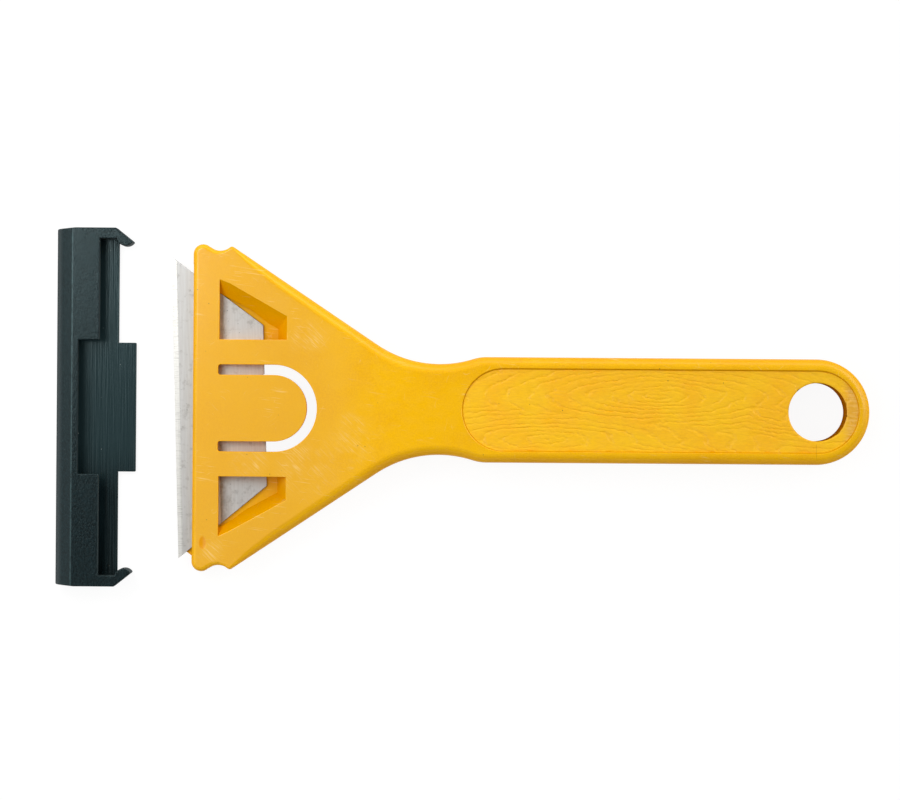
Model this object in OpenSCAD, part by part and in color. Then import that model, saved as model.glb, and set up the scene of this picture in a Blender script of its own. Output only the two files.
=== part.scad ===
// Razor blade scraper: a one-piece moulded handle that clamps a trapezoid blade under a spring tongue,
// and the blade's cap, which lies taken off in front of it.
// X runs from the blade to the hanging hole, Y across the head, and Z up.
// The origin is the centre of the hanging hole, halfway through the grip.

/* [Grip] */
// Distance from the hanging hole's centre to the head's front edge
reach = 127.7; // [122:0.1:140]
// Distance from the hanging hole's centre to the neck
grip_l = 69; // [60:0.5:74]
// Width of the grip
grip_w = 21.6; // [19:0.1:26]
// Thickness of the grip
grip_t = 9; // [8:0.1:12]
// Diameter of the hanging hole
hole_d = 11.9; // [8:0.1:14]
// Bevel along the edges of the grip and the neck
bevel = 1.3; // [0.8:0.1:1.6]

/* [Panel] */
// Distance between the centres of the panel's two round ends
panel_l = 64; // [40:0.5:64]
// Width of the rim around the panel
rim_w = 2.3; // [1.8:0.1:3.5]
// Depth of the panel below its rim
panel_depth = 0.5; // [0.3:0.05:0.8]

/* [Neck] */
// Width of the neck at its narrowest
neck_w = 18.6; // [16:0.1:21]
// Radius of the neck's hollow sides
neck_r = 22.9; // [18:0.1:26]

/* [Head] */
// Width of the head over its front corners
head_w = 67; // [66.6:0.1:70]
// Thickness of the head at its front edge
front_t = 3.8; // [3.4:0.1:4.6]
// Height of the head's front edge above the surface that the grip lies on
head_lift = 1.8; // [1.7:0.1:2.2]
// Length of the level underside behind the front edge, where the cap's lower plate goes
under_l = 9; // [8:0.5:14]
// Radius of the front corners
corner_r = 2; // [1.5:0.1:2.4]
// Rounding of the upper plate's front edge
front_r = 1.1; // [0.5:0.1:1.2]
// Distance from the front edge to the snap notch's middle
notch_x = 5.5; // [5:0.1:6]
// Radius of the snap notch
notch_r = 3; // [2.4:0.1:3.4]
// Depth of the snap notch below the front corner
notch_depth = 1.3; // [1:0.1:1.6]
// Distance from the front edge to the crest behind the notch
crest_x = 7.8; // [7.4:0.1:8.2]
// Drop of the crest below the front corner
crest_drop = 0.25; // [0:0.05:0.5]
// Bevel at the crest, where the bevel along the slanted side has narrowed to this
crest_bevel = 0.6; // [0.3:0.1:0.8]

/* [Lower jaw] */
// Thickness of the lower jaw, which the blade lies on
jaw_t = 1.6; // [1.4:0.05:1.8]
// How far the jaw's lip stands out in front of the head
lip_out = 1.6; // [0.5:0.1:2.2]
// Distance from the middle to the lip's low end
lip_low_end = 30.3; // [28:0.1:31]
// Distance from the middle to the lip's high end
lip_high_end = 27.8; // [26:0.1:31]
// Length of the slanted corners of the lip
lip_slant = 1.2; // [0.5:0.1:2]
// Length of the opening under the tongue's end
finger_l = 13.2; // [12:0.1:15]
// Width of the opening under the tongue's end beyond the slot on each side
finger_margin = 0.7; // [0.3:0.1:1.2]

/* [Windows] */
// Distance from the front edge to the windows
window_x = 5.5; // [5:0.1:7]
// Length of a window along its inner side
window_l = 13.9; // [12:0.1:15]
// Width of a window at its front side
window_w = 12.3; // [10:0.1:13]
// Width of the floor at a window's front side
window_floor_w = 10.1; // [8:0.1:10.5]
// Angle of a window's long side
window_angle = 31.6; // [28:0.1:34]
// Lean of a window's rear wall
window_rear_lean = 22; // [5:1:30]
// How far the floor of both windows lies to the low side
floor_shift = 0.4; // [0:0.1:0.6]
// Width of the rib between a window and the tongue's slot
rib_w = 5.1; // [4.5:0.1:5.8]

/* [Tongue] */
// Distance from the front edge to the tongue's root
tongue_x = 5.3; // [5:0.1:7]
// Length of the tongue
tongue_l = 18.2; // [17:0.1:20]
// Width of the tongue
tongue_w = 13.6; // [12:0.1:14]
// Width of the slot around the tongue
tongue_slot = 2.1; // [1.5:0.1:2.3]

/* [Blade] */
// Length of the blade's cutting edge
blade_l = 61.8; // [58:0.1:62]
// Length of the blade's back
blade_back_l = 33; // [30:0.1:34]
// Width of the blade from its edge to its back
blade_w = 18.5; // [18:0.1:19]
// Thickness of the blade
blade_t = 0.6; // [0.5:0.05:0.65]
// Width of the ground edge
grind_w = 1; // [0.6:0.1:2]
// How far the edge stands out of the head
blade_out = 3.6; // [3:0.1:4]
// Small turn of the blade in its slot
blade_skew = 1.4; // [0:0.1:1.6]
// Small shift of the blade to the low side
blade_shift = 0.42; // [0:0.02:0.5]
// Distance from the blade's middle to each notch in its back
back_notch_y = 5.2; // [4:0.1:5.4]
// Diameter of the notches in the blade's back
back_notch_d = 2.4; // [1.5:0.1:2.6]

/* [Cap] */
// Room between the head's side and the cap's end wall
cap_side_gap = 0.95; // [0.6:0.05:2]
// Thickness of the cap's end walls
cap_wall = 2.25; // [1.8:0.05:2.4]
// Length of the upper plate beside its cut-out, from the cap's back
upper_l = 8.9; // [8:0.1:12]
// Depth of the cut-out in the upper plate
cutout_l = 4.3; // [2:0.1:5]
// Thickness of the upper plate
upper_t = 1.8; // [1.2:0.1:2.4]
// Thickness of the lower plate
lower_t = 1.5; // [1.2:0.05:1.6]
// Height of the slot between the plates
cap_slot = 2.9; // [2.8:0.05:3.2]
// Thickness of the cap's back
cap_back = 2.2; // [1.6:0.1:2.6]
// How far the lower plate reaches beyond the upper one
lower_out = 3.6; // [2:0.1:4]
// How far the tab reaches beyond the upper plate
tab_out = 7.2; // [5:0.1:7.6]
// Width of the tab
tab_w = 26.5; // [20:0.1:30]
// How far the end walls reach beyond the upper plate
wall_out = 3.2; // [2.6:0.1:3.4]
// How far the hooks' tips reach beyond the upper plate
hook_out = 6.9; // [6.6:0.1:7.2]
// Radius of the snap bump on each hook
hook_r = 2.35; // [2:0.05:2.6]
// How far the cap lies ahead of its place on the blade
cap_off = 18.9; // [18:0.1:30]

/* [Fits] */
// Clearance around the blade in its slot
blade_gap = 0.1; // [0.05:0.01:0.15]
// Clearance between the blade and its seat, and between the blade and the tongue
seat_gap = 0.04; // [0.02:0.01:0.06]
// Clearance between the cap and the head when the cap is on
cap_gap = 0.1; // [0.05:0.01:0.2]
// Clearance of the cap's cut-out on each side of its tab
tab_gap = 0.45; // [0.2:0.05:0.8]

/* [Hidden] */
$fn = 96;

// Overrun of every cut past the faces that it opens
over = 1;

// Heights above the surface that the grip lies on
floor_z = head_lift + jaw_t;
ceiling_z = floor_z + blade_t + 2 * seat_gap;
front_top_z = head_lift + front_t;

// Front corner and snap notch of the head, on its high side
front_x = -reach;
corner = [front_x + corner_r, head_w / 2 - corner_r];
notch = [front_x + notch_x, head_w / 2 - notch_depth + notch_r];
crest = [front_x + crest_x, head_w / 2 - crest_drop];
corner_to_notch = notch - corner;
corner_end = corner + corner_to_notch * corner_r / norm(corner_to_notch);

// Neck's hollow side, and the slanted side that runs from the crest to touch it
grip_r = grip_w / 2;
neck_y = neck_w / 2 + neck_r;
neck_x = -grip_l - sqrt(pow(neck_r, 2) - pow(neck_y - grip_r, 2));
crest_to_neck = [neck_x, neck_y] - crest;
slant_l = sqrt(pow(norm(crest_to_neck), 2) - pow(neck_r, 2));
slant = asin(neck_r / norm(crest_to_neck)) - atan2(crest_to_neck[1], crest_to_neck[0]);
slant_end = crest + slant_l * [cos(slant), -sin(slant)];

// The head's blank ends inside the start of the grip's blank
blank_end_x = (neck_x - grip_l) / 2;

// The head thins from the end of the neck to its front edge
thinning_l = slant_end[0] - front_x;
top_fall = atan2(grip_t - front_top_z, thinning_l);
bevel_narrowing = bevel - crest_bevel;
function top_z(x) = front_top_z + (x - front_x) * tan(top_fall);

// Blade in its slot
blade_x = front_x - blade_out;
end_slope = (blade_l - blade_back_l) / 2 / blade_w;
slot_rear_x = blade_x + blade_w + blade_gap + blade_back_l / 2 * sin(blade_skew);
slot_rear_y = blade_back_l / 2 + blade_gap + blade_shift + blade_l / 2 * sin(blade_skew) * end_slope;

// Tongue and windows
tongue_root_x = front_x + tongue_x;
tongue_arc_x = tongue_root_x + tongue_l - tongue_w / 2;
slot_half_w = tongue_w / 2 + tongue_slot;
finger_end_x = tongue_arc_x + slot_half_w + finger_margin;
window_inner_y = slot_half_w + rib_w;
window_depth = top_z(front_x + window_x) - floor_z;

// Cap in its place ahead of the blade, from the front end of its upper plate
cap_x = front_x - cap_gap - cap_off;
cap_t = lower_t + cap_slot + upper_t;
cap_inner_y = head_w / 2 + cap_side_gap;
cap_w = 2 * (cap_inner_y + cap_wall);
hook_x = notch_x + cap_gap;
hook_y = head_w / 2 + cap_gap + hook_r;
hook_tip_y = head_w / 2 + cap_gap + hook_r - sqrt(pow(hook_r, 2) - pow(hook_out - hook_x, 2));

// Children, moved down so that the grip's middle lies at height zero
module from_rest() translate([0, 0, -grip_t / 2]) children();

// Children, and their mirror image across the middle
module both_sides() {
    children();
    mirror([0, 1, 0]) children();
}

// Flat shape between two round ends, from the centre of one to the centre of the other
module stadium(from_x, to_x, r) {
    translate([from_x, 0]) circle(r);
    translate([to_x, 0]) circle(r);
    translate([from_x, -r]) square([to_x - from_x, 2 * r]);
}

// Plan of the head and the neck, before the notches and the neck's sides are cut
module head_plan() {
    high_side = [
        [front_x, corner[1]],
        corner,
        corner_end,
        crest,
        slant_end,
        [blank_end_x, slant_end[1]]
    ];
    low_side = [for (i = [len(high_side) - 1:-1:0]) [high_side[i][0], -high_side[i][1]]];
    difference() {
        union() {
            polygon(concat(high_side, low_side));
            both_sides() translate(corner) circle(corner_r);
        }
        both_sides() translate(notch) circle(notch_r);
    }
}

// Side view of the head and the neck, with the upper front edge rounded
module head_side() {
    polygon([
        [front_x, head_lift],
        [front_x, front_top_z - front_r],
        [front_x + front_r, front_top_z - front_r],
        [front_x + front_r, top_z(front_x + front_r)],
        [slant_end[0], grip_t],
        [blank_end_x, grip_t],
        [blank_end_x, 0],
        [slant_end[0], 0],
        [front_x + under_l, head_lift]
    ]);
    translate([front_x + front_r, front_top_z - front_r]) circle(front_r);
}

// The head's whole thickness as one block, wider than the head
module head_thickness() {
    rotate([90, 0, 0])
        linear_extrude(head_w + 2 * over, center = true) head_side();
}

module head_blank() {
    intersection() {
        translate([0, 0, -over]) linear_extrude(grip_t + 2 * over) head_plan();
        head_thickness();
    }
}

// Half of the grip's cross-section, from its middle to its bevelled side
module grip_section() {
    polygon([
        [0, 0],
        [grip_r - bevel, 0],
        [grip_r, bevel],
        [grip_r, grip_t - bevel],
        [grip_r - bevel, grip_t],
        [0, grip_t]
    ]);
}

module grip_blank() {
    rotate_extrude() grip_section();
    translate([neck_x, 0, 0]) rotate([90, 0, 90]) linear_extrude(-neck_x) {
        grip_section();
        mirror([1, 0, 0]) grip_section();
    }
}

// Cutter for one hollow side of the neck, flared at both faces to leave a bevel
module neck_cut() {
    translate([neck_x, neck_y, 0]) {
        translate([0, 0, -over]) cylinder(h = grip_t + 2 * over, r = neck_r);
        translate([0, 0, grip_t - bevel]) cylinder(h = bevel + over, r1 = neck_r, r2 = neck_r + bevel + over);
        translate([0, 0, -over]) cylinder(h = bevel + over, r1 = neck_r + bevel + over, r2 = neck_r);
    }
}

// Cutter for the bevel along one slanted side, from the neck, where the edge lies at the given height.
// It leans by lean about the edge, and falls by drop on its way to the crest.
module slant_cut(height, lean, drop) {
    bevel_face = bevel / sqrt(2);
    translate([slant_end[0], slant_end[1], height])
        rotate([lean, atan2(drop, slant_l), 180 - slant])
            translate([0, -2 * bevel, -bevel_face]) cube([slant_l + over, 4 * bevel, bevel + over]);
}

// Plan of the slot that the blade slides into, open at the front
module blade_slot_plan() {
    mouth_x = blade_x - over;
    mouth_y = slot_rear_y + (slot_rear_x - mouth_x) * end_slope;
    polygon([[mouth_x, -mouth_y], [slot_rear_x, -slot_rear_y], [slot_rear_x, slot_rear_y], [mouth_x, mouth_y]]);
}

module jaw_lip() {
    tip_x = front_x - lip_out;
    root_x = front_x + lip_out;
    translate([0, 0, head_lift]) linear_extrude(jaw_t) polygon([
        [root_x, -lip_low_end],
        [front_x, -lip_low_end],
        [tip_x, lip_slant - lip_low_end],
        [tip_x, lip_high_end - lip_slant],
        [front_x, lip_high_end],
        [root_x, lip_high_end]
    ]);
}

// Cutter for the window on the high side, with two leaning walls. The floor lies shift further in.
module window_cut(shift) {
    reach_out = window_w + window_l;
    floor_w = window_floor_w - shift;
    side_lean = atan2((window_w - floor_w) * cos(window_angle), window_depth);
    rear_floor_x = window_l - (window_depth + window_l * tan(top_fall)) * tan(window_rear_lean);
    translate([front_x + window_x, window_inner_y, floor_z]) intersection() {
        cube([reach_out, reach_out, grip_t]);
        translate([0, floor_w, 0]) rotate([-side_lean, 0, -window_angle])
            translate([-reach_out, -2 * reach_out, -reach_out]) cube([3 * reach_out, 2 * reach_out, 2 * reach_out]);
        translate([rear_floor_x, 0, 0]) rotate([0, window_rear_lean, 0])
            translate([-2 * reach_out, -over, -reach_out]) cube([2 * reach_out, 2 * reach_out, 2 * reach_out]);
    }
}

// Cutter for everything around and under the tongue, down to the jaw that the blade lies on
module tongue_bay() {
    translate([0, 0, floor_z]) linear_extrude(grip_t) intersection() {
        stadium(tongue_root_x, tongue_arc_x, slot_half_w);
        translate([tongue_root_x, -slot_half_w]) square([tongue_l + tongue_slot, 2 * slot_half_w]);
    }
    translate([finger_end_x - finger_l, -slot_half_w - finger_margin, -over])
        cube([finger_l, 2 * (slot_half_w + finger_margin), ceiling_z + over]);
}

module panel_cut() {
    linear_extrude(panel_depth + over) stadium(-panel_l, 0, grip_r - rim_w);
}

module handle() {
    color("goldenrod") from_rest() difference() {
        union() {
            difference() {
                union() {
                    head_blank();
                    grip_blank();
                }
                both_sides() {
                    neck_cut();
                    slant_cut(grip_t, 45, grip_t - top_z(crest[0]) - bevel_narrowing);
                    slant_cut(0, 135, bevel_narrowing - head_lift);
                }
            }
            jaw_lip();
        }
        translate([0, 0, floor_z]) linear_extrude(ceiling_z - floor_z) blade_slot_plan();
        tongue_bay();
        window_cut(floor_shift);
        mirror([0, 1, 0]) window_cut(-floor_shift);
        translate([0, 0, grip_t - panel_depth]) panel_cut();
        translate([0, 0, -over]) panel_cut();
        translate([0, 0, -over]) cylinder(h = grip_t + 2 * over, d = hole_d);
    }
}

// The tongue starts at its root, face to face with the upper plate that it is moulded with
module tongue() {
    color("orange") from_rest() intersection() {
        head_thickness();
        translate([0, 0, ceiling_z]) linear_extrude(grip_t) {
            translate([tongue_arc_x, 0]) circle(tongue_w / 2);
            translate([tongue_root_x, -tongue_w / 2]) square([tongue_arc_x - tongue_root_x, tongue_w]);
        }
    }
}

// Blade from its edge to its back, ground from both faces along the edge
module blade_blank() {
    intersection() {
        translate([0, 0, -over]) linear_extrude(blade_t + 2 * over) difference() {
            polygon([
                [0, -blade_l / 2],
                [blade_w, -blade_back_l / 2],
                [blade_w, blade_back_l / 2],
                [0, blade_l / 2]
            ]);
            both_sides() translate([blade_w, back_notch_y]) circle(d = back_notch_d);
        }
        rotate([90, 0, 0]) linear_extrude(blade_l + 2 * over, center = true) polygon([
            [0, blade_t / 2],
            [grind_w, 0],
            [blade_w + over, 0],
            [blade_w + over, blade_t],
            [grind_w, blade_t]
        ]);
    }
}

module blade() {
    color("silver") from_rest()
        translate([blade_x, -blade_shift, floor_z + seat_gap]) rotate([0, 0, blade_skew]) blade_blank();
}

// Side view of the cap, with its round back
module cap_side() {
    translate([cap_t / 2 - upper_l, cap_t / 2]) circle(cap_t / 2);
    translate([cap_t / 2 - upper_l, 0]) square([upper_l - cap_t / 2 + wall_out, cap_t]);
}

// Snap hook on the high side: the wall's slanted end, with a round bump on its inner face
module cap_hook() {
    root_x = wall_out - cap_wall;
    linear_extrude(cap_t) intersection() {
        union() {
            translate([root_x, cap_inner_y]) square([hook_x - root_x, cap_wall]);
            translate([hook_x, hook_y]) circle(hook_r);
        }
        polygon([
            [root_x, hook_y - hook_r],
            [root_x, cap_w / 2],
            [wall_out, cap_w / 2],
            [hook_out, hook_tip_y],
            [hook_out, hook_y - hook_r]
        ]);
    }
}

// Room inside the cap, between its end walls
module cap_room() {
    room_x = cap_back - upper_l;
    translate([room_x, -cap_inner_y, lower_t]) cube([wall_out + over - room_x, 2 * cap_inner_y, cap_slot]);
    translate([0, -cap_inner_y, lower_t]) cube([wall_out + over, 2 * cap_inner_y, cap_t]);
    translate([-cutout_l, -tab_w / 2 - tab_gap, lower_t])
        cube([cutout_l + over, tab_w + 2 * tab_gap, cap_t]);
}

module cap() {
    color("darkslategray") from_rest() translate([cap_x, 0, 0]) {
        difference() {
            rotate([90, 0, 0]) linear_extrude(cap_w, center = true) cap_side();
            cap_room();
        }
        translate([0, -cap_inner_y, 0]) cube([lower_out, 2 * cap_inner_y, lower_t]);
        translate([0, -tab_w / 2, 0]) cube([tab_out, tab_w, lower_t]);
        both_sides() cap_hook();
    }
}

handle();
tongue();
blade();
cap();
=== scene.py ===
"""Looks of the razor blade scraper: a yellow moulded handle that clamps a blade under its spring tongue,
and the blade's dark cap, which lies taken off in front of it.

Lengths are millimetres in the part's own frame: X runs from the blade to the hanging hole, Y across the head,
Z up, and the origin is the middle of the hanging hole. A finished mesh is turned to metres in finish_piece().
"""

import math

import bmesh
import bpy
import numpy as np
from mathutils import Matrix, Vector
from mathutils.bvhtree import BVHTree


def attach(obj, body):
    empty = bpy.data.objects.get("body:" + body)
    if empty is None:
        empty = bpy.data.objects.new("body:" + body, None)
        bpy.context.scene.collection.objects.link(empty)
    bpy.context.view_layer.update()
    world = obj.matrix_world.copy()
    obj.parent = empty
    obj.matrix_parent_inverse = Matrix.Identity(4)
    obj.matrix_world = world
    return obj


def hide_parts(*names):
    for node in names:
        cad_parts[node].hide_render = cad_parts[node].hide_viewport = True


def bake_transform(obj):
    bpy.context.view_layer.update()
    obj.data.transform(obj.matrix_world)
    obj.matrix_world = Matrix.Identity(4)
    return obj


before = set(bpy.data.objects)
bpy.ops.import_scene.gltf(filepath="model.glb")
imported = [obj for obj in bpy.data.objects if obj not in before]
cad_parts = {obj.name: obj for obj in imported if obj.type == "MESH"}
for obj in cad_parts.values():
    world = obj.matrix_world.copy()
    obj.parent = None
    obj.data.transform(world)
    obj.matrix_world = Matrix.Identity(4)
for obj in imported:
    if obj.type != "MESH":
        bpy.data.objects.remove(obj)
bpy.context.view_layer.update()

MM = 0.001

# Photo's framing: millimetres to a pixel, and the place under its middle
PIXEL = 0.2045
VIEW_W = 900 * PIXEL
VIEW_X, VIEW_Y = -74.95, 1.95
VIEW_ROLL = 0.42
CAMERA_HEIGHT = 800
FLOOR_Z, FLOOR_SIZE = -4.5, 3000

# Light: each softbox of the world with its side in X and Y, how far it starts from right above, where it ends
# along Y, how high its foot stands, how dim it is there, and its strength; then the fill between them, the
# overhead light without sheen, and the lamp beside the cap
BOXES = [
    ((-1, 0), (0.12, 0.3), (-1.0, -0.4), (0.6, 0.9), 0.45, 0.95),
    ((-1, 0), (0.8, 0.93), (-1.0, -0.4), (0.0, 0.1), 1.0, 0.5),
    ((1, 0), (0.4, 0.7), (-0.3, 0.3), (0.1, 0.6), 0.6, 2.4),
    ((0.3, 0.954), (0.8, 0.95), (0.0, 0.5), (0.0, 0.1), 1.0, 1.4),
]
FILL_LOW, FILL_HIGH = 0.06, 0.16
OVERHEAD = 0.55
SOFTBOX_SIZE, SOFTBOX_PLACE, SOFTBOX_POWER = (85, 140), (-212, 88, 150), 0.165

# Handle: its outline from above, its heights, the hanging hole and the sunk panels
FRONT_X = -127.7
GRIP_R = 10.8
GRIP_T = 9
CORNER, CORNER_R = Vector((-125.7, 31.5)), 2
NOTCH, NOTCH_R = Vector((-122.2, 35.2)), 3
CREST = Vector((-119.9, 33.25))
SLANT = 33.787
NECK, NECK_R = Vector((-77.152, 32.2)), 22.9
THICK_X = -89.9
FRONT_TOP, FRONT_UNDER, UNDER_L = 1.1, -2.7, 9
JAW_TOP, CEILING = -1.1, -0.42
HOLE_R = 5.95
PANEL_X, PANEL_R, PANEL_DEPTH, PANEL_LEAN = -64, 8.55, 0.38, 0.28
FOOT_R = PANEL_R - PANEL_LEAN

# Finish of the handle's moulding: roundings of its edges along X, how much higher than wide the upper one is,
# roundings of the crest and the shoulder, the draft and the parting line, the rounding of the openings' rims,
# the share of the inner walls' painted shade that leaning walls get, and the sink mark
TOP_ROUNDING = [
    (-127.7, 1.0), (-122.2, 0.8), (-120.6, 0.5), (-119.2, 0.5), (-116, 1.3), (-110, 1.9), (-88, 2.2),
    (-68, 1.8), (11, 1.8),
]
UNDER_ROUNDING = [(-127.7, 0.5), (-120.6, 0.45), (-119.2, 0.45), (-115, 0.7), (-90, 1.7), (11, 1.7)]
STEEP = 1.35
CREST_R, SHOULDER_R = 0.75, 9
DRAFT, PARTING_H = 0.1, 0.15
RIM_R = 0.1
WINDOW_SHADE, RECESS_SHADE = 0.4, 0.35
SINK_X, SINK_Y, SINK_W, SINK_L, SINK_DEPTH = -125.4, -27.6, 0.8, 1.4, 0.12

# Lower jaw's lip, the opening under the tongue's end, windows and tongue
LIP_X, LIP_LOW, LIP_HIGH, LIP_SLANT = -129.3, -30.3, 27, 1.2
FINGER_X, FINGER_END, FINGER_Y = -114.6, -101.4, 9.6
WINDOW_X, WINDOW_END, WINDOW_Y, WINDOW_W = -122.2, -108.3, 14, 12.3
RIM_SLOPE, WINDOW_LEAN = 0.54, 0.49
HIGH_FOOT, LOW_FOOT = (22.5, 0.52), (23.85, 0.55)
TONGUE_X, TONGUE_ARC_X, TONGUE_R, SLOT_R = -122.4, -111, 6.8, 8.9
SEAM_X = -121.1
BEND_L = 7

# Wood grain: millimetres between the points of a panel's mesh, the thickness of its slab, and the knots that
# the grain runs round, each with its middle, how much longer than wide it is, its tilt, and how late its
# rings start
GRAIN_STEP, SLAB_T = 0.116, 0.15
KNOTS = [
    (-33, 3, 4.8, 0, 0),
    (-55.3, -6, 5.5, 0, 0.4),
    (-31, -14.5, 4.5, 0.2, -2.8),
    (-9.5, -0.5, 4, 0.2, 3.6),
]

# Marks on the handle: scuffed places of its upper face, each with how far it reaches; where the head's
# painted sheen fades along X; the weld line, and where it runs along Y; and where the flow marks come in
SCUFFED = [(-104, -12, 8), (-116, -11.5, 5), (-124, -29, 4), (-94, -6, 7), (-104, 14, 5)]
HEAD_SHEEN_X, HEAD_SHEEN_END = -110, -84
WELD_X, WELD_START, WELD_END = -0.24, -6.5, -10
FLOW_X, FLOW_END = 4.8, 6.8

# Blade, in its own place: its edge along Y, its back at BLADE_W, and where brown painted shade starts along X
BLADE_W, BLADE_T, EDGE_L, BACK_L = 18.5, 0.6, 61.8, 33
GRIND_W, HONE_W, HONE_T, STAMP_R = 1.05, 0.14, 0.09, 0.18
BACK_NOTCH_R, BACK_NOTCH_Y = 1.2, 5.2
BLADE_SHADE_X = 8.9
BLADE_PLACE = Vector((-131.3, 0, -1.06))
BLADE_TURN = 1.7

# Cap, and where painted sheen turns its lower plate and tab paler along Y
CAP_BACK, CAP_Y, CAP_INNER_Y = -155.6, 36.7, 34.45
CAP_LOW, CAP_TOP, CAP_MID = -4.5, 1.7, -1.4
CREASE_X, CREASE_R, SLOPE = -152.3, 0.8, 25
UPPER_END, CUTOUT_X, CUTOUT_Y = -146.7, -151.0, 13.7
LOWER_END, TAB_END, TAB_Y = -143.1, -139.5, 13.25
SLOT_BACK, SLOT_LOW, SLOT_TOP = -153.4, -3.0, -0.1
WALL_END = -143.5
BUMP, BUMP_R = Vector((-141.5, 34.8)), 1.82
TIP_TURN = 329
END_SLANT = 0.35
CAP_EDGE_R = 0.22
CAP_SHEEN_Y, CAP_SHEEN_END = -20, -6


# Outlines and meshes


def arc(centre, radius, start, end, step=5):
    """Points along an arc between two angles in degrees, both ends included."""
    count = max(2, math.ceil(abs(end - start) / step))
    turns = [math.radians(start + (end - start) * i / count) for i in range(count + 1)]
    return [(centre[0] + radius * math.cos(t), centre[1] + radius * math.sin(t)) for t in turns]


def turn_of(vector):
    """Direction of a vector in degrees."""
    return math.degrees(math.atan2(vector.y, vector.x))


def line(start, end, step):
    """Points along a straight side, its two ends left out."""
    start, end = Vector(start), Vector(end)
    count = max(1, round((end - start).length / step))
    return [tuple(start.lerp(end, i / count)) for i in range(1, count)]


def rounded(corners, radius, step=15):
    """A closed outline with rounded corners. A corner is x, y and, where it has one of its own, a radius."""
    outline = []
    for i, corner in enumerate(corners):
        here = Vector(corner[:2])
        back = (Vector(corners[i - 1][:2]) - here).normalized()
        on = (Vector(corners[(i + 1) % len(corners)][:2]) - here).normalized()
        r = corner[2] if len(corner) > 2 else radius
        if r == 0:
            outline.append(tuple(here))
            continue
        half = back.angle(on) / 2
        centre = here + (back + on).normalized() * r / math.sin(half)
        first = here + back * r / math.tan(half) - centre
        turn = math.degrees(first.angle_signed(here + on * r / math.tan(half) - centre))
        outline += arc(centre, r, turn_of(first), turn_of(first) - turn, step)
    return outline


def new_object(name, data):
    """A new object in the scene."""
    piece = bpy.data.objects.new(name, data)
    bpy.context.scene.collection.objects.link(piece)
    return piece


def as_object(name, mesh):
    """A new object from a bmesh, whose faces are turned outwards."""
    bmesh.ops.recalc_face_normals(mesh, faces=mesh.faces)
    data = bpy.data.meshes.new(name)
    mesh.to_mesh(data)
    mesh.free()
    return new_object(name, data)


def loft(name, rings):
    """A closed block through rings of points, with a flat face at each end."""
    mesh = bmesh.new()
    rows = [[mesh.verts.new(point) for point in ring] for ring in rings]
    for low, high in zip(rows, rows[1:]):
        for i in range(len(low)):
            mesh.faces.new((low[i - 1], low[i], high[i], high[i - 1]))
    mesh.faces.new(rows[0])
    mesh.faces.new(rows[-1])
    return as_object(name, mesh)


def prism(outline, low, high):
    """A block that stands on its outline."""
    return loft("block", [[(x, y, z) for x, y in outline] for z in (low, high)])


def across(outline, low, high):
    """A block that lies along Y, with its outline in X and Z."""
    return loft("block", [[(x, y, z) for x, z in outline] for y in (low, high)])


def box(low, high):
    """A plain block between two corners."""
    plan = [(low[0], low[1]), (high[0], low[1]), (high[0], high[1]), (low[0], high[1])]
    return prism(plan, low[2], high[2])


def mirrored(outline):
    """The same outline on the low side."""
    return [(x, -y) for x, y in outline]


def edit(piece, change):
    """Runs change on the piece's mesh."""
    mesh = bmesh.new()
    mesh.from_mesh(piece.data)
    change(mesh)
    mesh.to_mesh(piece.data)
    mesh.free()


def bake(piece):
    """Turns the piece's modifiers into its plain mesh."""
    graph = bpy.context.evaluated_depsgraph_get()
    data = bpy.data.meshes.new_from_object(piece.evaluated_get(graph), depsgraph=graph)
    piece.modifiers.clear()
    piece.data = data


def combine(piece, operation, *tools):
    """Cuts the tools off the piece, joins them to it, or keeps what lies inside them."""
    for tool in tools:
        step = piece.modifiers.new(operation, "BOOLEAN")
        step.operation = operation
        step.solver = "MANIFOLD"
        step.object = tool
        tool.hide_render = True
    bake(piece)
    for tool in tools:
        bpy.data.objects.remove(tool)


def slice_across(mesh, x):
    """Cuts the faces along a plane across X, and keeps both sides."""
    everything = mesh.verts[:] + mesh.edges[:] + mesh.faces[:]
    bmesh.ops.bisect_plane(mesh, geom=everything, dist=1e-5, plane_co=(x, 0, 0), plane_no=(1, 0, 0))


def round_edges(piece, width, chosen, segments=3):
    """Rounds the sharp outer edges that chosen() picks by the places of their two ends."""
    sharp = math.radians(45)

    def change(mesh):
        bmesh.ops.remove_doubles(mesh, verts=mesh.verts, dist=1e-4)
        picked = [
            e
            for e in mesh.edges
            if len(e.link_faces) == 2
            and e.calc_face_angle_signed() > sharp
            and chosen(e.verts[0].co, e.verts[1].co)
        ]
        bmesh.ops.bevel(
            mesh, geom=picked, offset=width, offset_type="OFFSET", segments=segments, profile=0.5,
            affect="EDGES", clamp_overlap=False,
        )

    edit(piece, change)


def finish_piece(piece, name, material, slot, body, *replaced):
    """Shades the mesh, turns it to metres, gives it its finish and lets it ride on its body."""
    piece.name = name
    piece.data.transform(Matrix.Scale(MM, 4))
    piece.data.shade_smooth()
    piece.data.set_sharp_from_angle(angle=math.radians(40))
    weighting = piece.modifiers.new("flat faces stay flat", "WEIGHTED_NORMAL")
    weighting.keep_sharp = True
    weighting.weight = 80
    bake(piece)
    piece.data.name = name
    piece.data.materials.clear()
    piece.data.materials.append(material)
    if body:
        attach(piece, body)
    if replaced:
        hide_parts(*replaced)
    return piece


# Nodes


def add(tree, kind, settings=None, inputs=None):
    """Adds a node with its settings. An input is a value, or another node's output that is linked to it."""
    node = tree.nodes.new(kind)
    for name, value in (settings or {}).items():
        setattr(node, name, value)
    for name, value in (inputs or {}).items():
        if isinstance(value, bpy.types.NodeSocket):
            tree.links.new(value, node.inputs[name])
        else:
            node.inputs[name].default_value = value
    return node.outputs


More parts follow.
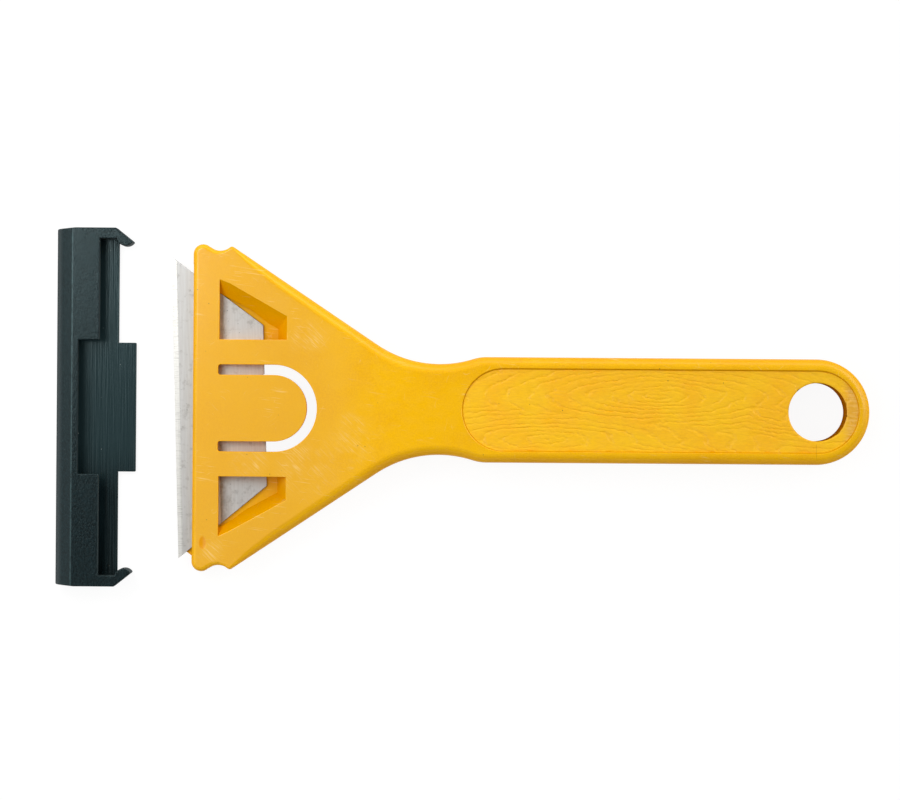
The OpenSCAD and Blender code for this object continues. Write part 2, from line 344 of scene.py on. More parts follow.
def hex_colour(text):
    """An sRGB hex colour as linear red, green, blue and alpha."""
    shares = [int(text[i : i + 2], 16) / 255 for i in (1, 3, 5)]
    return [s / 12.92 if s <= 0.04045 else ((s + 0.055) / 1.055) ** 2.4 for s in shares] + [1]


def empty_tree(owner):
    """The emptied node tree of a material or a world."""
    owner.use_nodes = True
    owner.node_tree.nodes.clear()
    return owner.node_tree


def new_material(name):
    """A material with empty nodes, and its place in millimetres."""
    material = bpy.data.materials.new(name)
    tree = empty_tree(material)
    place = add(tree, "ShaderNodeTexCoord")["Object"]
    millimetres = add(tree, "ShaderNodeVectorMath", {"operation": "SCALE"}, {0: place, "Scale": 1 / MM})
    return material, tree, millimetres["Vector"]


# Inputs of a colour Mix node
FACTOR, UNDER, OVER, MIXED = 0, 6, 7, 2


def ramp(tree, value, start, end, low=0.0, high=1.0):
    """Runs softly from low to high while the value runs from start to end."""
    return add(
        tree, "ShaderNodeMapRange", {"interpolation_type": "SMOOTHSTEP"},
        {0: value, 1: start, 2: end, 3: low, 4: high},
    )[0]


def math_node(tree, operation, *values):
    """One sum, product or the like of the values."""
    return add(tree, "ShaderNodeMath", {"operation": operation}, dict(enumerate(values)))[0]


def product(tree, a, b):
    """One value times another."""
    return math_node(tree, "MULTIPLY", a, b)


def apart(tree, a, b):
    """How far two values lie apart."""
    return math_node(tree, "ABSOLUTE", math_node(tree, "SUBTRACT", a, b))


def between(tree, share, a, b):
    """A value that lies this share of the way from a to b."""
    return add(tree, "ShaderNodeMix", {"data_type": "FLOAT"}, {0: share, 2: a, 3: b})[0]


def vector_node(tree, operation, *vectors):
    """One sum, product or the like of the vectors."""
    return add(tree, "ShaderNodeVectorMath", {"operation": operation}, dict(enumerate(vectors)))["Vector"]


def measure(tree, operation, *vectors):
    """A length, a distance or a dot product of the vectors."""
    return add(tree, "ShaderNodeVectorMath", {"operation": operation}, dict(enumerate(vectors)))["Value"]


def axes_of(tree, vector):
    """X, Y and Z of a vector."""
    return add(tree, "ShaderNodeSeparateXYZ", inputs={0: vector})


def facing_up(tree):
    """How far the surface faces up: 1 on a level face, 0 on an upright side, -1 underneath."""
    return axes_of(tree, add(tree, "ShaderNodeTexCoord")["Normal"])["Z"]


def own_frame(tree, place, location=(0, 0, 0), turn=0, scale=(1, 1, 1)):
    """The place as it lies in a frame of its own, which is turned about Z by this many degrees."""
    return add(
        tree, "ShaderNodeMapping", {"vector_type": "TEXTURE"},
        {"Vector": place, "Location": location, "Rotation": (0, 0, math.radians(turn)), "Scale": scale},
    )["Vector"]


def lay_over(tree, share, under, over):
    """A colour with another laid over it by this share. Either one is a hex colour or an output."""
    under, over = (hex_colour(c) if isinstance(c, str) else c for c in (under, over))
    return add(tree, "ShaderNodeMix", {"data_type": "RGBA"}, {FACTOR: share, UNDER: under, OVER: over})[MIXED]


def clouds(tree, place, size, detail=2, roughness=0.5):
    """Soft noise, whose largest clouds are this size in millimetres."""
    return add(
        tree, "ShaderNodeTexNoise",
        inputs={"Vector": place, "Scale": 1 / size, "Detail": detail, "Roughness": roughness},
    )["Fac"]


def strokes(tree, place, turn, length, width, detail=2):
    """Noise drawn out into strokes that run at this turn in degrees."""
    return clouds(tree, own_frame(tree, place, turn=turn, scale=(length, width, length)), 1, detail)


def specks(tree, place, cell, radius, share):
    """Small round spots, some strong, some faint: at most one to each cell of this size in millimetres, and
    only in a share of the cells."""
    cells = add(tree, "ShaderNodeTexVoronoi", inputs={"Vector": place, "Scale": 1 / cell})
    chance = add(tree, "ShaderNodeSeparateColor", inputs={0: cells["Color"]})
    near = ramp(tree, cells["Distance"], radius / cell / 3, radius / cell, 1.0, 0.0)
    some = math_node(tree, "LESS_THAN", chance[0], share)
    return product(tree, near, product(tree, some, chance[1]))


def textured_surface(tree, height, strength, depth, inputs):
    """The material's surface, with a fine relief of this depth in millimetres."""
    relief = {"Strength": strength, "Distance": depth * MM, "Height": height}
    bump = add(tree, "ShaderNodeBump", inputs=relief)
    shader = add(tree, "ShaderNodeBsdfPrincipled", inputs={**inputs, "Normal": bump["Normal"]})
    add(tree, "ShaderNodeOutputMaterial", inputs={"Surface": shader["BSDF"]})


# Materials


def head_sheen_and_sink_shade(tree, place, along, facing, colour):
    """Painted sheen on the head's flat face, as a paler and duller tone, but not on its round edges and
    the neck, and painted shade in its sink mark."""
    # Painted sheen: a paler, duller tone on the head's flat face
    sheen_share = product(tree, ramp(tree, along, HEAD_SHEEN_X, HEAD_SHEEN_END, 0.62, 0.0), ramp(tree, facing, 0.88, 1.0))
    from_sink = own_frame(tree, place, (SINK_X, SINK_Y, FRONT_TOP), scale=(SINK_W, SINK_L, 4))
    around_sink = ramp(tree, measure(tree, "LENGTH", from_sink), 0.7, 1.15)
    colour = lay_over(tree, product(tree, sheen_share, around_sink), colour, "#DDA018")
    # Painted shade: a deeper tone down in the sink mark
    return lay_over(tree, ramp(tree, around_sink, 1, 0, 0.0, 0.8), colour, "#E09000")


def panel_marks(tree, place, along, fine, grain, colour):
    """Fine grain of the panels, and their pale flow marks between the hole and the handle's end."""
    grained = lay_over(tree, product(tree, fine, 0.16 * grain), colour, "#DA9410")
    beyond = product(tree, ramp(tree, along, FLOW_X, FLOW_END), 0.75 * grain)
    drawn_out = ramp(tree, strokes(tree, place, 0, 2.5, 0.35, 2), 0.42, 0.6)
    return lay_over(tree, beyond, grained, lay_over(tree, drawn_out, "#E2A430", "#F2BC60"))


def weld_line(tree, axes, colour):
    """Weld line: a fine darker line from the hanging hole towards the grip's low side."""
    from_weld = apart(tree, axes["X"], WELD_X)
    start = ramp(tree, axes["Y"], WELD_START, WELD_START - 0.3)
    end = ramp(tree, axes["Y"], WELD_END, WELD_END + 1)
    weld = product(tree, ramp(tree, from_weld, 0.05, 0.15, 0.35, 0.0), product(tree, start, end))
    return lay_over(tree, weld, colour, "#B87C10")


def scuffs(tree, place):
    """Pale strokes that lie aslant in patches at a few places, rare level ones, and hairlines."""
    worn = None
    for x, y, reach in SCUFFED:
        away = measure(tree, "DISTANCE", place, (x, y, top_at(x)))
        patch = ramp(tree, away, 0.25 * reach, reach, 1.0, 0.0)
        worn = patch if worn is None else math_node(tree, "MAXIMUM", worn, patch)
    worn = product(tree, worn, ramp(tree, clouds(tree, place, 4, 2), 0.35, 0.65))
    slanting = ramp(tree, strokes(tree, place, -42, 3, 0.2), 0.5, 0.68, 0.08, 0.65)
    level = ramp(tree, strokes(tree, place, -8, 5, 0.2, 1), 0.64, 0.74, 0.0, 0.45)
    rare = ramp(tree, clouds(tree, place, 5), 0.5, 0.65)
    rubbed = math_node(tree, "MAXIMUM", product(tree, slanting, worn), product(tree, level, rare))
    # Hairlines: thin curved scratches, 0.1 mm
    winding = math_node(tree, "PINGPONG", clouds(tree, place, 9, 1), 0.04)
    hairline = ramp(tree, winding, 0.0, 0.0035, 0.3, 0.0)
    patchy = ramp(tree, clouds(tree, place, 2.5), 0.58, 0.66)
    return math_node(tree, "MAXIMUM", rubbed, product(tree, hairline, patchy))


def yellow_plastic(name, deep, pale, scuff, grain):
    """Injection-moulded ABS in signal yellow: half-gloss, faintly mottled by its flow, with dark specks of
    dust and burnt grains. The share of scuff is how strongly it is scuffed, and the share of grain adds the
    marks of the panels."""
    material, tree, place = new_material(name)
    axes = axes_of(tree, place)
    facing = facing_up(tree)
    upright = ramp(tree, math_node(tree, "ABSOLUTE", facing), 0.5, 1.0, 1.0, 0.0)
    fine = ramp(tree, strokes(tree, place, 0, 1.1, 0.28, 2), 0.38, 0.62)
    flow = ramp(tree, clouds(tree, place, 8, 1), 0.35, 0.65)
    mottle = ramp(tree, clouds(tree, place, 0.3, 1, 0.7), 0.35, 0.65, 0.0, 0.5)
    colour = lay_over(tree, mottle, lay_over(tree, flow, deep, pale), "#FFC400")
    # Painted sheen on the head's flat face, and painted shade in its sink mark
    colour = head_sheen_and_sink_shade(tree, place, axes["X"], facing, colour)
    # Painted shade: upright sides are a little deeper in tone
    colour = lay_over(tree, product(tree, upright, 0.25), colour, "#F29A00")
    colour = panel_marks(tree, place, axes["X"], fine, grain, colour)
    colour = weld_line(tree, axes, colour)
    colour = lay_over(tree, product(tree, scuffs(tree, place), scuff), colour, "#F8D483")
    # Painted shade down in the grooves of the grain, and on the inner walls of the openings
    groove = add(tree, "ShaderNodeAttribute", {"attribute_name": "groove"})["Fac"]
    wall = add(tree, "ShaderNodeAttribute", {"attribute_name": "wall"})["Fac"]
    colour = lay_over(tree, wall, lay_over(tree, groove, colour, "#B87200"), "#B87000")
    colour = lay_over(tree, specks(tree, place, 2.2, 0.17, 0.5), colour, "#80601C")

    gloss = ramp(tree, clouds(tree, place, 1.5, 4, 0.6), 0.3, 0.7, 0.15 + 0.15 * grain, 0.24 + 0.15 * grain)
    # Inner walls are rough and without sheen, and upright sides nearly so
    drawn = math_node(tree, "MAXIMUM", ramp(tree, wall, 0.0, 0.25), product(tree, upright, 0.75))
    # Fine texture of the mould, 0.4 mm
    skin = math_node(tree, "ADD", clouds(tree, place, 0.4, 3, 0.6), product(tree, fine, 0.7 * grain))
    strength = ramp(tree, upright, 0, 0.6, 0.35, 0.05)
    textured_surface(
        tree, skin, strength, 0.015,
        {
            "Base Color": colour,
            "Roughness": between(tree, drawn, gloss, 0.7),
            "IOR": 1.5,
            "Specular IOR Level": ramp(tree, drawn, 0, 1, 0.5, 0.0),
        },
    )
    return material


def blade_steel():
    """Carbon blade steel: rolled, with faint lines along the edge, a few stains and specks of rust, and a
    ground edge whose scratches run straight across it. Painted shade darkens its upright sides and lies
    brown on it from the windows' front wall on."""
    material, tree, place = new_material("rolled_blade_steel")
    own_place = own_frame(tree, place, BLADE_PLACE, BLADE_TURN)
    along = axes_of(tree, own_place)["X"]
    lines = strokes(tree, own_place, 90, 8, 0.4, 4)
    colour = lay_over(tree, ramp(tree, lines, 0.35, 0.7), "#DEDDDA", "#E5E5E3")
    stains = ramp(tree, clouds(tree, own_place, 1.6, 5, 0.65), 0.52, 0.72, 0.0, 0.4)
    colour = lay_over(tree, stains, colour, "#A39F98")
    # Painted shade, brown, that starts at the windows' front wall and fades towards the blade's back
    fading = math_node(tree, "SUBTRACT", 1.0, ramp(tree, along, BLADE_SHADE_X, BLADE_SHADE_X + 3))
    blade_shade = product(tree, fading, math_node(tree, "GREATER_THAN", along, BLADE_SHADE_X))
    blade_shade = product(tree, blade_shade, ramp(tree, clouds(tree, own_place, 1.2, 3), 0.3, 0.6, 0.2, 0.5))
    colour = lay_over(tree, blade_shade, colour, "#6B5636")
    colour = lay_over(tree, specks(tree, own_place, 1.1, 0.14, 0.35), colour, "#5A5650")

    # Ground edge: as wide as the grind, with a slightly ragged border
    scratches = strokes(tree, own_place, 0, 2, 0.2, 4)
    border = math_node(tree, "ADD", along, ramp(tree, scratches, 0.3, 0.7, -0.06, 0.06))
    ground = ramp(tree, border, GRIND_W - 0.05, GRIND_W + 0.05, 1.0, 0.0)
    scratched = lay_over(tree, ramp(tree, scratches, 0.3, 0.55), "#C9C8C3", "#E0DFDA")
    colour = lay_over(tree, ground, colour, scratched)
    # Painted shade on the sheet's upright sides
    stamped = ramp(tree, math_node(tree, "ABSOLUTE", facing_up(tree)), 0.6, 0.85, 0.85, 0.0)
    colour = lay_over(tree, stamped, colour, "#3C382E")
    roughness = ramp(tree, ground, 0, 1, 0.58, 0.5)
    height = between(tree, ground, lines, scratches)
    inputs = {"Base Color": colour, "Metallic": 1.0, "Roughness": roughness}
    textured_surface(tree, height, 0.3, 0.006, inputs)
    return material


def cap_plastic():
    """Injection-moulded polypropylene in blue-black: grainy from a spark-eroded mould on its nose and upper
    plate, with fine lines along the lower plate, a painted highlight along its crease, painted sheen that
    pales the lower plate towards its high side, and pale specks of dust, most at the foot of the step."""
    material, tree, place = new_material("spark_eroded_dark_polypropylene")
    axes = axes_of(tree, place)
    low = math_node(tree, "LESS_THAN", axes["Z"], SLOT_LOW + 0.1)
    lines = ramp(tree, strokes(tree, place, 90, 14, 0.3, 3), 0, 1, 0.25, 0.75)
    height = between(tree, low, clouds(tree, place, 0.45, 4, 0.7), lines)
    colour = lay_over(tree, ramp(tree, height, 0.3, 0.7), "#020607", "#0F1F23")
    # Painted sheen: the lower plate and the tab turn paler over a stretch of Y, and stay so beyond
    colour = lay_over(tree, product(tree, low, ramp(tree, axes["Y"], CAP_SHEEN_Y, CAP_SHEEN_END)), colour, "#1C2D30")
    # Painted highlight along the crease between plate and nose, here and there
    from_crease = apart(tree, axes["X"], CREASE_X)
    patchy = ramp(tree, clouds(tree, place, 1.5, 3), 0.3, 0.55, 0.3, 1.0)
    crease = product(tree, ramp(tree, from_crease, 0.08, 0.22, 0.3, 0.0), patchy)
    colour = lay_over(tree, crease, colour, "#4C6466")
    from_step = apart(tree, axes["X"], UPPER_END + 0.5)
    swept = product(tree, ramp(tree, from_step, 0.3, 0.6, 0.8, 0.0), specks(tree, place, 1.4, 0.12, 0.6))
    dust = math_node(tree, "MAXIMUM", swept, specks(tree, place, 2.2, 0.16, 0.3))
    colour = lay_over(tree, dust, colour, "#A8B0AC")
    # Upright walls are matt
    matt = ramp(tree, math_node(tree, "ABSOLUTE", facing_up(tree)), 0.3, 0.85, 0.75, 0.25)
    # A slightly blue sheen
    tint = (0.72, 0.97, 1.0, 1.0)
    inputs = {"Base Color": colour, "Roughness": matt, "IOR": 1.5, "Specular Tint": tint}
    textured_surface(tree, height, 0.8, 0.08, inputs)
    return material


# Handle


def touching_centre(hollow, hollow_r, point, turn, r):
    """Centre of a small rounding that touches a hollow arc and a straight side from inside.
    The side runs from the point down along X at this turn in degrees."""
    along = Vector((math.cos(math.radians(turn)), -math.sin(math.radians(turn))))
    inward = Vector((along.y, -along.x))
    start = point + r * inward - hollow
    half = start.dot(along)
    return hollow + start + along * (math.sqrt(half**2 - start.length_squared + (hollow_r + r) ** 2) - half)


def handle_side():
    """Plan of the handle's high side, from the middle of the front edge round to the end of the grip."""
    notch_turn = turn_of(NOTCH - CORNER)
    crest = touching_centre(NOTCH, NOTCH_R, CREST, SLANT, CREST_R)
    crest_turn = turn_of(crest - NOTCH)
    shoulder = touching_centre(NECK, NECK_R, Vector((0, GRIP_R)), 0, SHOULDER_R)
    shoulder_turn = turn_of(shoulder - NECK)
    corner = arc(CORNER, CORNER_R, 180, notch_turn)
    notch = arc(NOTCH, NOTCH_R, notch_turn + 180, crest_turn + 360)
    crest_top = arc(crest, CREST_R, crest_turn + 180, 90 - SLANT, 12)
    neck = arc(NECK, NECK_R, -90 - SLANT, shoulder_turn, 2.5)
    shoulder_top = arc(shoulder, SHOULDER_R, shoulder_turn + 180, 90, 4)
    end = arc((0, 0), GRIP_R, 90, 0, 3)
    return (
        [(FRONT_X, 0)]
        + line((FRONT_X, 0), corner[0], 3)
        + corner
        + notch[1:]
        + crest_top[1:]
        + line(crest_top[-1], neck[0], 2)
        + neck
        + shoulder_top[1:]
        + line(shoulder_top[-1], end[0], 4)
        + end
    )


def soft_step(x, corner, reach):
    """How far x lies beyond a corner, with the corner smoothed over this reach to both sides."""
    if abs(x - corner) >= reach:
        return max(0, x - corner)
    return (x - corner + reach) ** 2 / (4 * reach)


def top_at(x):
    """Height of the handle's upper face: it rises from the front edge, then runs level from the neck on."""
    rise = (GRIP_T / 2 - FRONT_TOP) / (THICK_X - FRONT_X)
    return FRONT_TOP + rise * (x - FRONT_X - soft_step(x, THICK_X, 8))


def under_at(x):
    """Height of the handle's underside: level at the front, falling, then level from the neck on."""
    fall = (GRIP_T / 2 + FRONT_UNDER) / (THICK_X - FRONT_X - UNDER_L)
    return FRONT_UNDER - fall * (soft_step(x, FRONT_X + UNDER_L, 3) - soft_step(x, THICK_X, 8))


def moulding_blank():
    """The handle without its openings: its outline, drawn in a little towards both faces, with round edges
    and a fine parting line halfway up. It is built with the grip's thickness all along, then thinned at the
    head."""
    side = handle_side()
    outline = [Vector(p) for p in side + mirrored(side[1:-1])[::-1]]
    inward = []
    for i, here in enumerate(outline):
        back = (here - outline[i - 1]).normalized()
        on = (outline[(i + 1) % len(outline)] - here).normalized()
        bisector = (back + on).normalized()
        inward.append(Vector((bisector.y, -bisector.x)) / max(0.5, bisector.dot(on)))

    def ring(widths, share, height):
        """Outline drawn in by the draft and a share of its rounding, at a height of its own."""
        xs, ws = zip(*widths)
        points = []
        for here, normal in zip(outline, inward):
            width = float(np.interp(here.x, xs, ws))
            flat = here + normal * (DRAFT + share * width)
            points.append((*flat, height(width)))
        return points

    half = GRIP_T / 2
    turns = [math.radians(90 * i / 7) for i in range(8)]
    upper = [
        ring(TOP_ROUNDING, 1 - math.cos(t), lambda w, t=t: half - STEEP * w * (1 - math.sin(t)))
        for t in reversed(turns)
    ]
    lower = [
        ring(UNDER_ROUNDING, 1 - math.cos(t), lambda w, t=t: w * (1 - math.sin(t)) - half) for t in turns
    ]
    shallow = [
        [(*(here + normal * inset), height) for here, normal in zip(outline, inward)]
        for inset, height in ((0.05, PARTING_H), (0, 0), (0.05, -PARTING_H))
    ]
    blank = loft("handle_moulding", upper + shallow + lower)

    def thin(mesh):
        for x in [*np.arange(-99, -80, 1), *np.arange(-122, -115, 1)]:
            slice_across(mesh, x)
        for vert in mesh.verts:
            x, height = vert.co.x, vert.co.z
            if height > 2 * PARTING_H:
                vert.co.z = height - half + top_at(x)
            elif height < -2 * PARTING_H:
                vert.co.z = height + half + under_at(x)
            else:
                vert.co.z = height + (top_at(x) + under_at(x)) / 2

    edit(blank, thin)
    return blank


def jaw_lip():
    """The lower jaw's lip, which stands out in front of the head under the blade."""
    root = FRONT_X + 2
    plan = rounded(
        [
            (root, LIP_LOW, 0),
            (FRONT_X, LIP_LOW),
            (LIP_X, LIP_LOW + LIP_SLANT),
            (LIP_X, LIP_HIGH - LIP_SLANT),
            (FRONT_X, LIP_HIGH),
            (root, LIP_HIGH, 0),
        ],
        0.3,
    )
    lip = prism(plan, FRONT_UNDER, JAW_TOP + 0.3)
    round_edges(lip, 0.25, lambda a, b: max(a.z, b.z) < FRONT_UNDER + 0.01 and min(a.x, b.x) < root - 0.5)
    return lip


def blade_slot():
    """Cutter for the slot that the blade slides into, from the back of the blade out of the front."""
    turn = math.radians(BLADE_TURN)
    back = BLADE_PLACE.x + BLADE_W + 0.1 + BACK_L / 2 * math.sin(turn)
    slope = (EDGE_L - BACK_L) / 2 / BLADE_W
    half_back = BACK_L / 2 + 0.1 - BLADE_PLACE.y + EDGE_L / 2 * math.sin(turn) * slope
    mouth = BLADE_PLACE.x - 1
    half_mouth = half_back + (back - mouth) * slope
    plan = [(mouth, -half_mouth), (back, -half_back), (back, half_back), (mouth, half_mouth)]
    return prism(plan, JAW_TOP, CEILING)


def tongue_slot():
    """Cutter for the U-shaped slot that frees the tongue, with round ends."""
    ends = 0.5
    outer = arc((TONGUE_ARC_X, 0), SLOT_R, 90, -90, 4)
    inner = arc((TONGUE_ARC_X, 0), TONGUE_R, -90, 90, 4)

    def round_end(low, high):
        first = arc((TONGUE_X + ends, low + ends), ends, 270, 180, 18)
        return first + arc((TONGUE_X + ends, high - ends), ends, 180, 90, 18)

    outline = outer + round_end(-SLOT_R, -TONGUE_R) + inner + round_end(TONGUE_R, SLOT_R)
    return prism(outline, JAW_TOP, GRIP_T)


def window(side, foot_y, foot_slope):
    """Cutter for one window. Its long wall and its rear wall lean outwards, from the foot up to the rim. The
    foot starts at foot_y at the front, and runs inwards with its own slope."""
    end = WINDOW_END - WINDOW_LEAN * (top_at(WINDOW_END) - JAW_TOP)
    rim_y = WINDOW_Y + WINDOW_W
    corners = []
    for x in (WINDOW_X, WINDOW_END):
        foot = Vector((min(x, end), foot_y - foot_slope * (min(x, end) - WINDOW_X), JAW_TOP))
        rim = Vector((x, rim_y - RIM_SLOPE * (x - WINDOW_X), top_at(x)))
        corners.append((foot, rim.lerp(foot, -0.3)))
    rings = [
        [(front.x, WINDOW_Y, front.z), (rear.x, WINDOW_Y, rear.z), tuple(rear), tuple(front)]
        for front, rear in zip(*corners)
    ]
    return loft("block", [[(x, side * y, z) for x, y, z in ring] for ring in rings])


def stadium(left, right, r):
    """Outline between two round ends."""
    return arc((right, 0), r, -90, 90, 3) + arc((left, 0), r, 90, 270, 3)


def recess(side):
    """Cutter for the sunk panel of the upper face (1) or the underside (-1). Its walls lean outwards."""
    face = GRIP_T / 2
    steps = [
        (FOOT_R, face - PANEL_DEPTH - SLAB_T),
        (FOOT_R, face - PANEL_DEPTH),
        (PANEL_R, face),
        (PANEL_R + PANEL_LEAN, face + PANEL_DEPTH),
    ]
    rings = [[(x, y, side * height) for x, y in stadium(PANEL_X, 0, r)] for r, height in steps]
    return loft("block", rings[::-side])


def sink_mark():
    """Cutter for the shallow oval sink mark near the head's low corner."""
    face = top_at(SINK_X)
    rings = []
    for share in (0, 0.35, 0.7, 1, 1.3):
        depth = SINK_DEPTH * (1 - share**2)
        width = max(share, 0.05)
        ring = [
            (SINK_X + SINK_W * width * math.cos(t), SINK_Y + SINK_L * width * math.sin(t), face - depth)
            for t in (math.radians(15 * i) for i in range(24))
        ]
        rings.append(ring)
    return loft("block", rings)


def mark_walls(piece):
    """Marks the upright walls of the openings, which face another wall, and the leaning walls of the windows
    and the recesses, for the material, which paints shade on them and makes them rough."""
    mesh = bmesh.new()
    mesh.from_mesh(piece.data)
    tree = BVHTree.FromBMesh(mesh)
    marks = []
    for face in mesh.faces:
        middle = face.calc_center_median()
        start = middle + 0.01 * face.normal
        upright = abs(face.normal.z) < 0.1 and abs(middle.y) < WINDOW_Y - 1
        leaning = 0.3 < abs(face.normal.z) < 0.95
        inward = face.normal.x < 0 or face.normal.y * middle.y < 0
        deep = inward and middle.z < top_at(middle.x) - 0.5
        from_end = math.hypot(middle.x - min(max(middle.x, PANEL_X), 0), middle.y)
        sunk = FOOT_R < from_end < PANEL_R and abs(middle.z) < GRIP_T / 2 - 0.1
        if upright and tree.ray_cast(start, face.normal, 2 * HOLE_R + 0.2)[0] is not None:
            marks.append(1)
        elif leaning and deep and WINDOW_Y < abs(middle.y) and WINDOW_X < middle.x < WINDOW_END:
            marks.append(WINDOW_SHADE)
        elif leaning and sunk:
            marks.append(RECESS_SHADE)
        else:
            marks.append(0)
    mesh.free()
    piece.data.attributes.new("wall", "FLOAT", "FACE").data.foreach_set("value", marks)


def handle_moulding():
    """The whole moulding with its openings, still one with its tongue."""
    moulding = moulding_blank()
    combine(moulding, "UNION", jaw_lip())
    under_tongue = arc((TONGUE_ARC_X, 0), SLOT_R, -90, 90, 4) + [(TONGUE_X, SLOT_R), (TONGUE_X, -SLOT_R)]
    combine(
        moulding,
        "DIFFERENCE",
        blade_slot(),
        prism(under_tongue, JAW_TOP, CEILING),
        tongue_slot(),
        box((FINGER_X, -FINGER_Y, -GRIP_T), (FINGER_END, FINGER_Y, CEILING)),
        window(1, *HIGH_FOOT),
        window(-1, *LOW_FOOT),
        recess(1),
        recess(-1),
        prism(arc((0, 0), HOLE_R, 0, 360, 3)[:-1], -GRIP_T, GRIP_T),
        sink_mark(),
    )

    def on_a_face(a, b):
        """Rims of the openings, on the upper face or the underside."""
        upper = all(abs(p.z - top_at(p.x)) < 0.01 for p in (a, b))
        under = all(abs(p.z - under_at(p.x)) < 0.01 for p in (a, b))
        return upper or under

    round_edges(moulding, RIM_R, on_a_face)
    return moulding


def split_off_tongue(moulding):
    """Cuts the tongue off the moulding at its root, and slices it there, so that it can bend."""
    tongue = moulding.copy()
    tongue.data = moulding.data.copy()
    bpy.context.scene.collection.objects.link(tongue)
    middle_r = (TONGUE_R + SLOT_R) / 2
    room = arc((TONGUE_ARC_X, 0), middle_r, -90, 90, 6) + [(SEAM_X, middle_r), (SEAM_X, -middle_r)]
    combine(moulding, "DIFFERENCE", prism(room, CEILING - 0.2, GRIP_T))
    combine(tongue, "INTERSECT", prism(room, CEILING - 0.2, GRIP_T))

    def slice_root(mesh):
        for x in np.arange(SEAM_X + 0.5, SEAM_X + BEND_L + 1, 0.5):
            slice_across(mesh, x)

    edit(tongue, slice_root)
    return tongue


# Wood grain


def seeded_noise(tree, place, given, scale, detail):
    """Noise that the panel's seed changes."""
    return add(
        tree, "ShaderNodeTexNoise", {"noise_dimensions": "4D"},
        {"Vector": place, "W": given["Seed"], "Scale": scale, "Detail": detail},
    )


def wander(tree, flat, given):
    """The place on the panel, moved by noise: slowly and far along X, quicker and less far, and with a fine
    jitter."""
    wandered = flat
    for stretch, scale, reach in (
        ((0.3, 1, 0), 0.4, (3.4, 1.1, 0)),
        ((0.4, 1, 0), 0.9, (2.4, 1.0, 0)),
        ((0.7, 1, 0), 2.0, (1.1, 0.6, 0)),
    ):
        noise = seeded_noise(tree, vector_node(tree, "MULTIPLY", flat, stretch), given, scale, 1)["Color"]
        far = vector_node(tree, "MULTIPLY", vector_node(tree, "SUBTRACT", noise, (0.5, 0.5, 0.5)), reach)
        scale_up = {"operation": "SCALE"}
        scaled = add(tree, "ShaderNodeVectorMath", scale_up, {0: far, "Scale": given["Waviness"]})
        wandered = vector_node(tree, "ADD", wandered, scaled["Vector"])
    return wandered


def from_knots(tree, wandered):
    """How far a place lies from the knots, measured across the grain."""
    rings = None
    for x, y, stretch, tilt, late in KNOTS:
        away = vector_node(tree, "SUBTRACT", wandered, (x, y, 0))
        along = measure(tree, "DOT_PRODUCT", away, (1 / stretch, 0, 0))
        sideways = measure(tree, "DOT_PRODUCT", away, (tilt, 1, 0))
        joined = add(tree, "ShaderNodeCombineXYZ", inputs={0: along, 1: sideways, 2: 0.2})[0]
        knot = math_node(tree, "ADD", measure(tree, "LENGTH", joined), float(late))
        rings = knot if rings is None else math_node(tree, "SMOOTH_MIN", rings, knot, 0.8)
    return rings


def grain_tree():
    """Geometry Nodes that engrave wood grain into a flat panel in millimetres: rings run round a few knots,
    wander with noise, and stand in the surface as shallow grooves with low ripples between them."""
    tree = bpy.data.node_groups.new("engraved wood grain", "GeometryNodeTree")
    tree.interface.new_socket("Panel", in_out="INPUT", socket_type="NodeSocketGeometry")
    sizes = {
        "Line spacing": 0.58,
        "Line width": 0.17,
        "Line depth": 0.12,
        "Ripple": 0.014,
        "Waviness": 1,
        "Hole radius": HOLE_R,
        "Hole rounding": 0.28,
        "Seed": 3,
    }
    for name, value in sizes.items():
        tree.interface.new_socket(name, in_out="INPUT", socket_type="NodeSocketFloat").default_value = value
    tree.interface.new_socket("Finish", in_out="INPUT", socket_type="NodeSocketMaterial")
    tree.interface.new_socket("Panel", in_out="OUTPUT", socket_type="NodeSocketGeometry")
    given = add(tree, "NodeGroupInput")
    position = add(tree, "GeometryNodeInputPosition")[0]
    flat = vector_node(tree, "MULTIPLY", position, (1, 1, 0))

    # Rings lie further apart the further out they are
    rings = math_node(tree, "DIVIDE", from_knots(tree, wander(tree, flat, given)), given["Line spacing"])
    to_line = math_node(tree, "PINGPONG", math_node(tree, "POWER", rings, 0.87), 0.5)
    drawn_out = vector_node(tree, "MULTIPLY", flat, (0.35, 1, 0))
    faint = seeded_noise(tree, drawn_out, given, 0.8, 2)[0]
    strength = add(tree, "ShaderNodeMapRange", inputs={0: faint, 1: 0.35, 2: 0.6, 3: 0.25, 4: 1.0})[0]
    groove = product(tree, ramp(tree, to_line, 0.0, given["Line width"], 1.0, 0.0), strength)
    cut = product(tree, groove, given["Line depth"])
    swell = product(tree, ramp(tree, to_line, 0.1, 0.5), given["Ripple"])

    # The rim of the hanging hole is rounded
    from_hole = math_node(tree, "SUBTRACT", measure(tree, "LENGTH", flat), given["Hole radius"])
    fall = ramp(tree, from_hole, -0.1, given["Hole rounding"], -0.18, 0.0)
    height = math_node(tree, "ADD", math_node(tree, "SUBTRACT", swell, cut), fall)
    lift = add(tree, "ShaderNodeCombineXYZ", inputs={2: height})[0]
    on_top = add(
        tree, "FunctionNodeCompare", {"data_type": "FLOAT", "operation": "GREATER_THAN"},
        {0: axes_of(tree, position)["Z"], 1: -0.01},
    )[0]
    engraved = add(
        tree, "GeometryNodeSetPosition",
        inputs={"Geometry": given["Panel"], "Selection": on_top, "Offset": lift},
    )[0]
    stored = add(
        tree, "GeometryNodeStoreNamedAttribute", {"data_type": "FLOAT", "domain": "POINT"},
        {"Geometry": engraved, "Selection": on_top, "Name": "groove", "Value": groove},
    )[0]
    real = add(tree, "GeometryNodeRealizeInstances", inputs={0: stored})[0]
    finished = add(tree, "GeometryNodeSetMaterial", inputs={"Geometry": real, "Material": given["Finish"]})[0]
    add(tree, "NodeGroupOutput", inputs={0: finished})
    return tree


